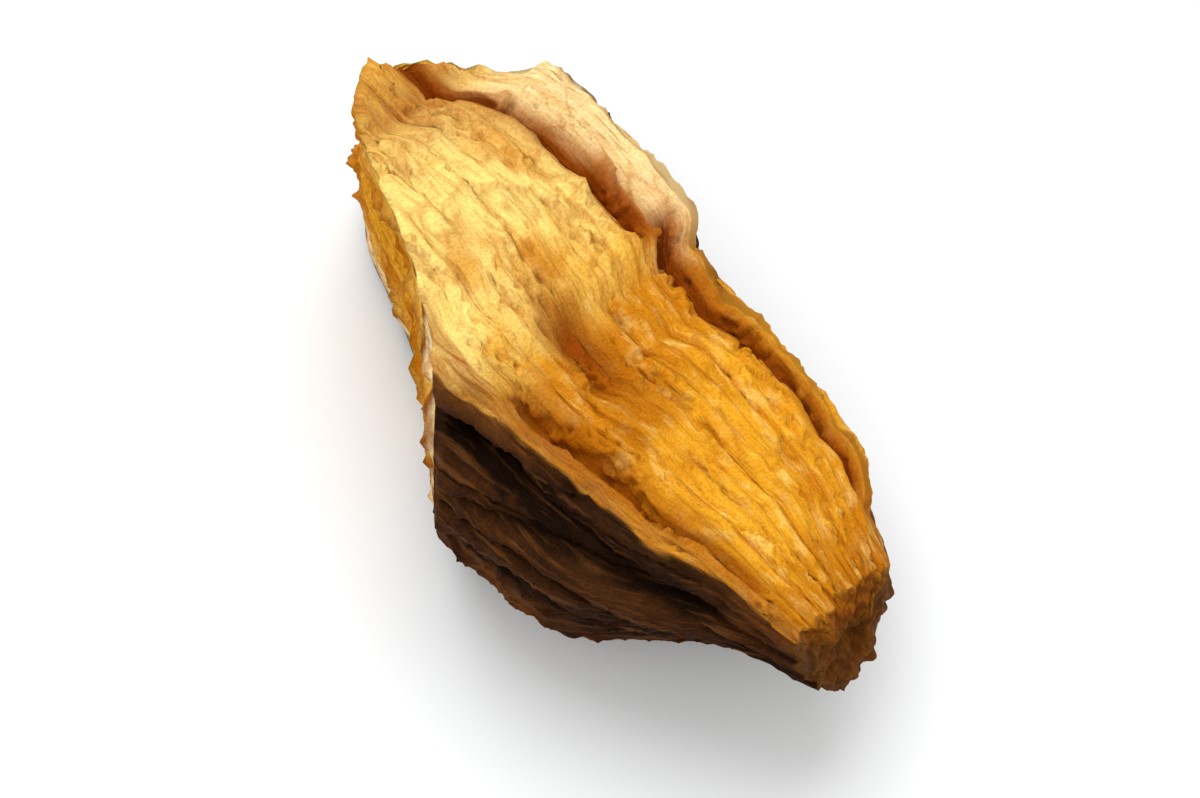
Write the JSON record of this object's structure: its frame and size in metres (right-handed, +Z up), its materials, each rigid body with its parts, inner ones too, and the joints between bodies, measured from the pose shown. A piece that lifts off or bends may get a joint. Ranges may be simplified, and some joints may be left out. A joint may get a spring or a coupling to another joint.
{
  "type": "dried dandelion root chip",
  "caption": "Chip of dried dandelion root split lengthwise, golden inner face up over wrinkled dark brown bark, cut at one end and broken to a blunt point at the other.",
  "frame": {"origin": "under the middle of the chip, on the surface that it lies on", "axes": "+X along the root towards its thin, broken end; +Y towards the side that the split face leans to; +Z up"},
  "size_m": [0.006, 0.0032, 0.0028],
  "materials": {
    "root_tissue": "matte dried root"
  },
  "bodies": {
    "root": {"root_chip": "root_tissue"}
  },
  "joints": []
}
